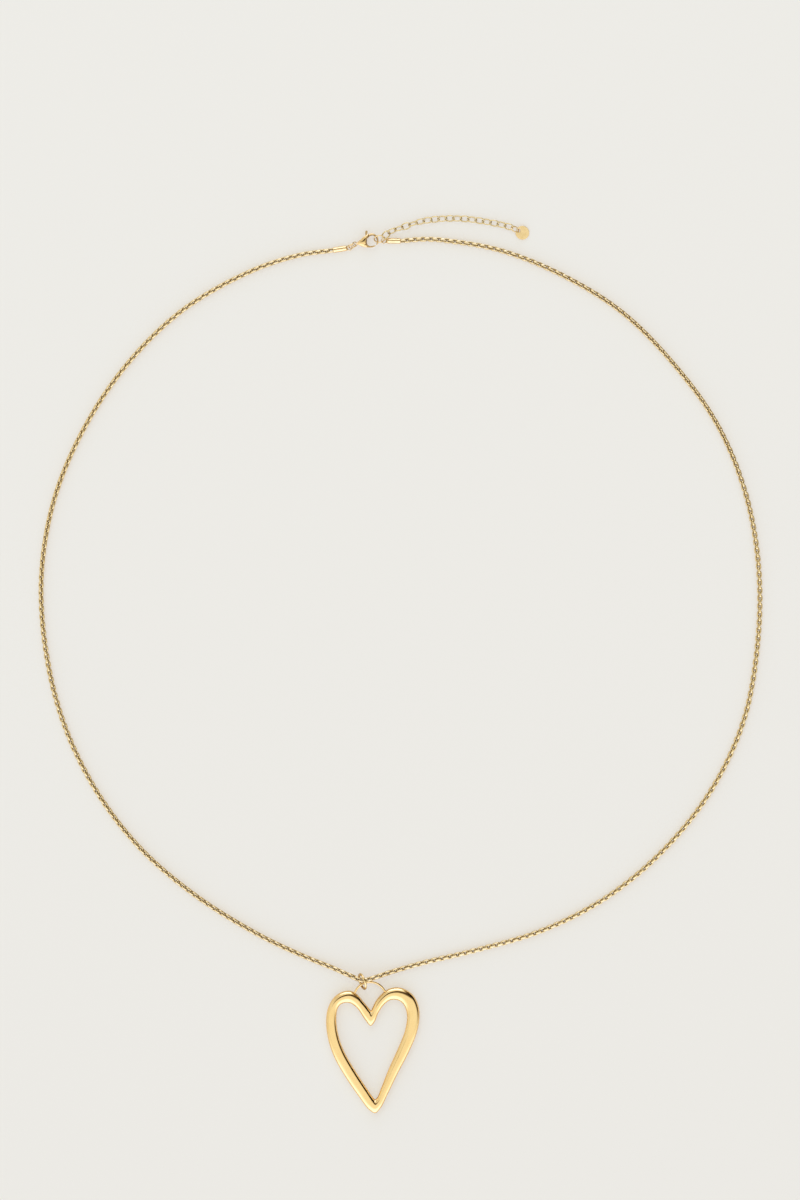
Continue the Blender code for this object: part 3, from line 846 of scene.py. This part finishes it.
def rod(radius, length, place=(0, 0, 0)):
    mesh = bpy.data.meshes.new("rod")
    bm = bmesh.new()
    bmesh.ops.create_cone(bm, cap_ends=True, segments=48, radius1=radius * MM,
                          radius2=radius * MM, depth=length * MM)
    bm.to_mesh(mesh)
    bm.free()
    mesh.transform(Matrix.Translation(Vector(place) * MM))
    return helper(mesh)


def helper(mesh):
    """An object for casting, gone once the cast is made."""
    made = bpy.data.objects.new("helper", mesh)
    SCENE.collection.objects.link(made)
    return made


def cast(name, parts, cuts, voxel, rounds, keep):
    """Parts joined and cut, then cast in one: every edge comes out soft, as in a mould."""
    first = parts[0]
    for other, operation in [*((p, "UNION") for p in parts[1:]), *((c, "DIFFERENCE") for c in cuts)]:
        boolean = first.modifiers.new("shape", "BOOLEAN")
        boolean.object = other
        boolean.operation = operation
    remesh = first.modifiers.new("mould", "REMESH")
    remesh.mode = "VOXEL"
    remesh.voxel_size = voxel * MM
    soft = first.modifiers.new("soft", "SMOOTH")
    soft.factor = 0.5
    soft.iterations = rounds
    fewer = first.modifiers.new("fewer", "DECIMATE")
    fewer.ratio = keep
    mesh = bpy.data.meshes.new_from_object(first.evaluated_get(bpy.context.evaluated_depsgraph_get()))
    mesh.name = name
    for used in [*parts, *cuts]:
        bpy.data.objects.remove(used)
    mesh.materials.clear()
    return mesh


def dome(outline, centre, edge, full):
    """A body on this outline, this full at its centre and falling off to its edge all round."""
    rim = smooth([(x, y, 0) for x, y in outline], closed=True, steps=8)
    centre = Vector((*centre, 0))
    upper = []
    for i in range(1, 17):
        share = math.sin(math.radians(90 * i / 16))
        height = edge + (full - edge) * (1 - share ** 2.3) ** (1 / 2.3)
        upper.append([centre.lerp(p, share) + Vector((0, 0, height)) for p in rim])
    lower = [[Vector((p.x, p.y, -p.z)) for p in loop] for loop in reversed(upper)]
    return skin("dome", upper + lower, capped=True)


def arm(spine, full):
    """A bar along a spine of (x, y, half width), this much to either side of the spine's plane."""
    points = smooth(spine, steps=6)
    loops = []
    for i, p in enumerate(points):
        ahead = points[min(i + 1, len(points) - 1)] - points[max(i - 1, 0)]
        out = Vector((-ahead.y, ahead.x, 0)).normalized()
        full_here = min(full, p.z * 1.7)
        turns = [2 * math.pi * k / 24 for k in range(24)]
        loops.append([Vector((p.x, p.y, 0)) + out * p.z * math.cos(t)
                      + Vector((0, 0, full_here * math.sin(t))) for t in turns])
    return skin("arm", loops, capped=True)


def clasp():
    """A cast lobster clasp: domed pod with tail eye and claw, a sprung lever inside, its rivet."""
    place = at(CLASP_EYE_AT, CLASP_HEADING)
    pivot = (*PIVOT_AT, 0)
    pod = dome(CHEEK_OUTLINE, (3.55, 0.35), 0.42, CHEEK_THICKNESS / 2)
    shell = cast(
        "clasp_shell",
        [helper(pod), helper(arm(CLAW, CLAW_THICKNESS / 2)), helper(arm(NECK, 0.62)),
         rod(CLASP_EYE_OUTER, CLASP_EYE_THICKNESS)],
        [rod(CLASP_EYE_HOLE, 3), plate(SLOT_OUTLINE, SLOT_WIDTH, 0), rod(PIN_HOLE, 4, pivot)],
        0.04, 6, 0.6)
    shell.shade_smooth()
    mouth = Vector(MOUTH)
    # painted shade on the walls that face into the claw's opening, and on what faces sideways and down
    shade_mask = []
    for vertex in shell.vertices:
        inward = mouth - vertex.co.xy / MM
        facing_in = vertex.normal.xy.dot(inward.normalized())
        shade_mask.append(min(1.0, max(0.0, 2 * facing_in)) if inward.length < 2.6 else 0.0)
    paint_shade(shell, place, 0.3, shade_mask)
    piece("clasp_shell", shell, "clasp_gold", "clasp", ["clasp_body"], place)

    lever = cast("clasp_trigger", [plate(LEVER_OUTLINE, LEVER_THICKNESS)], [rod(PIN_HOLE, 4, pivot)],
                 0.04, 6, 0.5)
    lever.transform(Matrix.Translation(-Vector(pivot) * MM))
    lever.shade_smooth()
    at_pivot = place @ Matrix.Translation(Vector(pivot) * MM)
    piece("clasp_trigger", lever, "clasp_gold", "clasp_lever", ["clasp_lever"], at_pivot)

    half = RIVET_LENGTH / 2
    profile = [(-half, 0.0)] + rounded((-half + 0.12, PIN_RADIUS - 0.12), 0.12, 180, 90)
    profile += rounded((half - 0.12, PIN_RADIUS - 0.12), 0.12, 90, 0) + [(half, 0.0)]
    rivet = skin("clasp_rivet", turned(profile, 28))
    rivet.transform(Matrix.Rotation(math.radians(90), 4, "Y"))
    piece("clasp_rivet", rivet, "clasp_gold", "clasp", ["clasp_pin"], at_pivot)


# --- heart ---

def heart():
    """The open heart, full and round, with the arch of wire soldered between its lobes."""
    outer = smooth([(x, y, 0) for x, y in HEART_OUTER], closed=True, steps=9)
    inner = smooth([(x, y, 0) for x, y in HEART_INNER], closed=True, steps=9)
    sides = 36
    loops = []
    for out, inn in zip(outer, inner):
        middle, half = (out + inn) / 2, (out - inn) / 2
        section = []
        for i in range(sides):
            turn = 2 * math.pi * i / sides
            across, up = (math.copysign(abs(w) ** (2 / HEART_SQUARENESS), w)
                          for w in (math.cos(turn), math.sin(turn)))
            section.append(middle + half * across + Vector((0, 0, up * HEART_THICKNESS / 2)))
        loops.append(section)
    mesh = skin("heart_band", loops, closed=True)
    piece("heart_band", mesh, "heart_gold", "heart", ["heart_frame"], at(HEART_CENTRE))

    turns = [math.radians(ARCH_FROM + (ARCH_TO - ARCH_FROM) * i / 60) for i in range(61)]
    path = [ARCH_RADIUS * Vector((math.cos(t), math.sin(t), 0)) for t in turns]
    arch = skin("heart_arch", tube_loops(path, ARCH_WIRE, 20), capped=True)
    # painted shade on what faces sideways and down
    paint_shade(arch, at(ARCH_CENTRE), 0.7)
    piece("heart_arch", arch, "heart_gold", "heart", ["bail_arch"], at(ARCH_CENTRE))


chain()
caps()
rings()
extension()
tag()
clasp()
heart()
